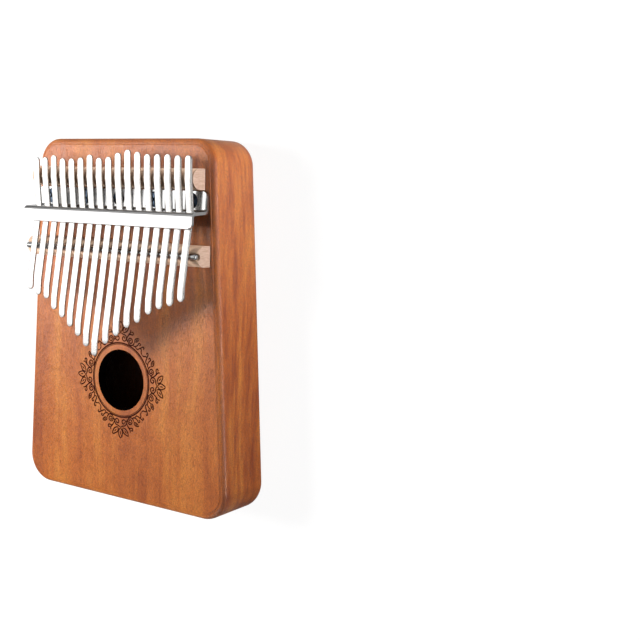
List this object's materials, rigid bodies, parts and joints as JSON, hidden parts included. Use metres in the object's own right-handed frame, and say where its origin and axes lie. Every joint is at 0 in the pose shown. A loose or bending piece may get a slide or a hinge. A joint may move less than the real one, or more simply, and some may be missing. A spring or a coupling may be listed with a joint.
{
  "type": "thumb piano",
  "caption": "Hollow wooden thumb piano with a round sound hole, spring-steel tines fanned to a point, a bent steel clamp bracket and pale wooden bridges.",
  "frame": {"origin": "centre of the back of the body, where it rests", "axes": "+X to the player's right across the tines, +Y along the body towards the bridges and the tines' back ends, +Z out of the sounding face"},
  "size_m": [0.1366, 0.185, 0.0529],
  "materials": {
    "body_wood": "orange-brown stain under a thin satin varnish, fine dark pores along the grain",
    "plate_wood": "the same stained wood, satin",
    "bridge_wood": "pale close-grained hardwood, unstained, sanded smooth",
    "rod_steel": "bright drawn rod",
    "bracket_chrome": "polished plating over bent sheet",
    "screw_zinc": "dark blue-grey zinc",
    "tine_steel": "bright polished spring steel"
  },
  "bodies": {
    "body": {"body_shell": "body_wood", "back_plate": "plate_wood", "back_bridge": "bridge_wood", "front_bridge": "bridge_wood", "bridge_rod": "rod_steel", "tine_bracket": "bracket_chrome", "bracket_screw_1": "screw_zinc", "bracket_screw_2": "screw_zinc", "bracket_screw_3": "screw_zinc", "bracket_screw_4": "screw_zinc", "bracket_screw_5": "screw_zinc"},
    "tine_01_shank": {"tine_01_shank": "tine_steel"},
    "tine_01_tongue": {"tine_01_tongue": "tine_steel"},
    "tine_02_shank": {"tine_02_shank": "tine_steel"},
    "tine_02_tongue": {"tine_02_tongue": "tine_steel"},
    "tine_03_shank": {"tine_03_shank": "tine_steel"},
    "tine_03_tongue": {"tine_03_tongue": "tine_steel"},
    "tine_04_shank": {"tine_04_shank": "tine_steel"},
    "tine_04_tongue": {"tine_04_tongue": "tine_steel"},
    "tine_05_shank": {"tine_05_shank": "tine_steel"},
    "tine_05_tongue": {"tine_05_tongue": "tine_steel"},
    "tine_06_shank": {"tine_06_shank": "tine_steel"},
    "tine_06_tongue": {"tine_06_tongue": "tine_steel"},
    "tine_07_shank": {"tine_07_shank": "tine_steel"},
    "tine_07_tongue": {"tine_07_tongue": "tine_steel"},
    "tine_08_shank": {"tine_08_shank": "tine_steel"},
    "tine_08_tongue": {"tine_08_tongue": "tine_steel"},
    "tine_09_shank": {"tine_09_shank": "tine_steel"},
    "tine_09_tongue": {"tine_09_tongue": "tine_steel"},
    "tine_10_shank": {"tine_10_shank": "tine_steel"},
    "tine_10_tongue": {"tine_10_tongue": "tine_steel"},
    "tine_11_shank": {"tine_11_shank": "tine_steel"},
    "tine_11_tongue": {"tine_11_tongue": "tine_steel"},
    "tine_12_shank": {"tine_12_shank": "tine_steel"},
    "tine_12_tongue": {"tine_12_tongue": "tine_steel"},
    "tine_13_shank": {"tine_13_shank": "tine_steel"},
    "tine_13_tongue": {"tine_13_tongue": "tine_steel"},
    "tine_14_shank": {"tine_14_shank": "tine_steel"},
    "tine_14_tongue": {"tine_14_tongue": "tine_steel"},
    "tine_15_shank": {"tine_15_shank": "tine_steel"},
    "tine_15_tongue": {"tine_15_tongue": "tine_steel"},
    "tine_16_shank": {"tine_16_shank": "tine_steel"},
    "tine_16_tongue": {"tine_16_tongue": "tine_steel"},
    "tine_17_shank": {"tine_17_shank": "tine_steel"},
    "tine_17_tongue": {"tine_17_tongue": "tine_steel"}
  },
  "joints": [
    {"name": "tine_01_tuning", "type": "slide", "parent": "body", "child": "tine_01_shank", "axis": [0, 1, 0], "range_m": [-0.001, 0.001]},
    {"name": "tine_01_pluck", "type": "hinge", "parent": "tine_01_shank", "child": "tine_01_tongue", "pos_m": [-0.04996, 0.037, 0.0448], "axis": [1, 0, 0], "range_deg": [-3, 4], "stiffness_Nm_per_rad": 6.48},
    {"name": "tine_02_tuning", "type": "slide", "parent": "body", "child": "tine_02_shank", "axis": [0, 1, 0], "range_m": [-0.001, 0.001]},
    {"name": "tine_02_pluck", "type": "hinge", "parent": "tine_02_shank", "child": "tine_02_tongue", "pos_m": [-0.04359, 0.037, 0.0448], "axis": [1, 0, 0], "range_deg": [-3, 4], "stiffness_Nm_per_rad": 5.83},
    {"name": "tine_03_tuning", "type": "slide", "parent": "body", "child": "tine_03_shank", "axis": [0, 1, 0], "range_m": [-0.001, 0.001]},
    {"name": "tine_03_pluck", "type": "hinge", "parent": "tine_03_shank", "child": "tine_03_tongue", "pos_m": [-0.03722, 0.037, 0.0448], "axis": [1, 0, 0], "range_deg": [-3, 4], "stiffness_Nm_per_rad": 5.5},
    {"name": "tine_04_tuning", "type": "slide", "parent": "body", "child": "tine_04_shank", "axis": [0, 1, 0], "range_m": [-0.001, 0.001]},
    {"name": "tine_04_pluck", "type": "hinge", "parent": "tine_04_shank", "child": "tine_04_tongue", "pos_m": [-0.03085, 0.037, 0.0448], "axis": [1, 0, 0], "range_deg": [-3, 4], "stiffness_Nm_per_rad": 4.63},
    {"name": "tine_05_tuning", "type": "slide", "parent": "body", "child": "tine_05_shank", "axis": [0, 1, 0], "range_m": [-0.001, 0.001]},
    {"name": "tine_05_pluck", "type": "hinge", "parent": "tine_05_shank", "child": "tine_05_tongue", "pos_m": [-0.02448, 0.037, 0.0448], "axis": [1, 0, 0], "range_deg": [-3, 4], "stiffness_Nm_per_rad": 4.17},
    {"name": "tine_06_tuning", "type": "slide", "parent": "body", "child": "tine_06_shank", "axis": [0, 1, 0], "range_m": [-0.001, 0.001]},
    {"name": "tine_06_pluck", "type": "hinge", "parent": "tine_06_shank", "child": "tine_06_tongue", "pos_m": [-0.01811, 0.037, 0.0448], "axis": [1, 0, 0], "range_deg": [-3, 4], "stiffness_Nm_per_rad": 3.74},
    {"name": "tine_07_tuning", "type": "slide", "parent": "body", "child": "tine_07_shank", "axis": [0, 1, 0], "range_m": [-0.001, 0.001]},
    {"name": "tine_07_pluck", "type": "hinge", "parent": "tine_07_shank", "child": "tine_07_tongue", "pos_m": [-0.01174, 0.037, 0.0448], "axis": [1, 0, 0], "range_deg": [-3, 4], "stiffness_Nm_per_rad": 3.39},
    {"name": "tine_08_tuning", "type": "slide", "parent": "body", "child": "tine_08_shank", "axis": [0, 1, 0], "range_m": [-0.001, 0.001]},
    {"name": "tine_08_pluck", "type": "hinge", "parent": "tine_08_shank", "child": "tine_08_tongue", "pos_m": [-0.00537, 0.037, 0.0448], "axis": [1, 0, 0], "range_deg": [-3, 4], "stiffness_Nm_per_rad": 3.07},
    {"name": "tine_09_tuning", "type": "slide", "parent": "body", "child": "tine_09_shank", "axis": [0, 1, 0], "range_m": [-0.001, 0.001]},
    {"name": "tine_09_pluck", "type": "hinge", "parent": "tine_09_shank", "child": "tine_09_tongue", "pos_m": [0.001, 0.037, 0.0448], "axis": [1, 0, 0], "range_deg": [-3, 4], "stiffness_Nm_per_rad": 2.83},
    {"name": "tine_10_tuning", "type": "slide", "parent": "body", "child": "tine_10_shank", "axis": [0, 1, 0], "range_m": [-0.001, 0.001]},
    {"name": "tine_10_pluck", "type": "hinge", "parent": "tine_10_shank", "child": "tine_10_tongue", "pos_m": [0.00737, 0.037, 0.0448], "axis": [1, 0, 0], "range_deg": [-3, 4], "stiffness_Nm_per_rad": 3.24},
    {"name": "tine_11_tuning", "type": "slide", "parent": "body", "child": "tine_11_shank", "axis": [0, 1, 0], "range_m": [-0.001, 0.001]},
    {"name": "tine_11_pluck", "type": "hinge", "parent": "tine_11_shank", "child": "tine_11_tongue", "pos_m": [0.01374, 0.037, 0.0448], "axis": [1, 0, 0], "range_deg": [-3, 4], "stiffness_Nm_per_rad": 3.6},
    {"name": "tine_12_tuning", "type": "slide", "parent": "body", "child": "tine_12_shank", "axis": [0, 1, 0], "range_m": [-0.001, 0.001]},
    {"name": "tine_12_pluck", "type": "hinge", "parent": "tine_12_shank", "child": "tine_12_tongue", "pos_m": [0.02011, 0.037, 0.0448], "axis": [1, 0, 0], "range_deg": [-3, 4], "stiffness_Nm_per_rad": 4.05},
    {"name": "tine_13_tuning", "type": "slide", "parent": "body", "child": "tine_13_shank", "axis": [0, 1, 0], "range_m": [-0.001, 0.001]},
    {"name": "tine_13_pluck", "type": "hinge", "parent": "tine_13_shank", "child": "tine_13_tongue", "pos_m": [0.02648, 0.037, 0.0448], "axis": [1, 0, 0], "range_deg": [-3, 4], "stiffness_Nm_per_rad": 4.42},
    {"name": "tine_14_tuning", "type": "slide", "parent": "body", "child": "tine_14_shank", "axis": [0, 1, 0], "range_m": [-0.001, 0.001]},
    {"name": "tine_14_pluck", "type": "hinge", "parent": "tine_14_shank", "child": "tine_14_tongue", "pos_m": [0.03285, 0.037, 0.0448], "axis": [1, 0, 0], "range_deg": [-3, 4], "stiffness_Nm_per_rad": 5.12},
    {"name": "tine_15_tuning", "type": "slide", "parent": "body", "child": "tine_15_shank", "axis": [0, 1, 0], "range_m": [-0.001, 0.001]},
    {"name": "tine_15_pluck", "type": "hinge", "parent": "tine_15_shank", "child": "tine_15_tongue", "pos_m": [0.03922, 0.037, 0.0448], "axis": [1, 0, 0], "range_deg": [-3, 4], "stiffness_Nm_per_rad": 5.72},
    {"name": "tine_16_tuning", "type": "slide", "parent": "body", "child": "tine_16_shank", "axis": [0, 1, 0], "range_m": [-0.001, 0.001]},
    {"name": "tine_16_pluck", "type": "hinge", "parent": "tine_16_shank", "child": "tine_16_tongue", "pos_m": [0.04559, 0.037, 0.0448], "axis": [1, 0, 0], "range_deg": [-3, 4], "stiffness_Nm_per_rad": 6.2},
    {"name": "tine_17_tuning", "type": "slide", "parent": "body", "child": "tine_17_shank", "axis": [0, 1, 0], "range_m": [-0.001, 0.001]},
    {"name": "tine_17_pluck", "type": "hinge", "parent": "tine_17_shank", "child": "tine_17_tongue", "pos_m": [0.05196, 0.037, 0.0448], "axis": [1, 0, 0], "range_deg": [-3, 4], "stiffness_Nm_per_rad": 6.94}
  ]
}
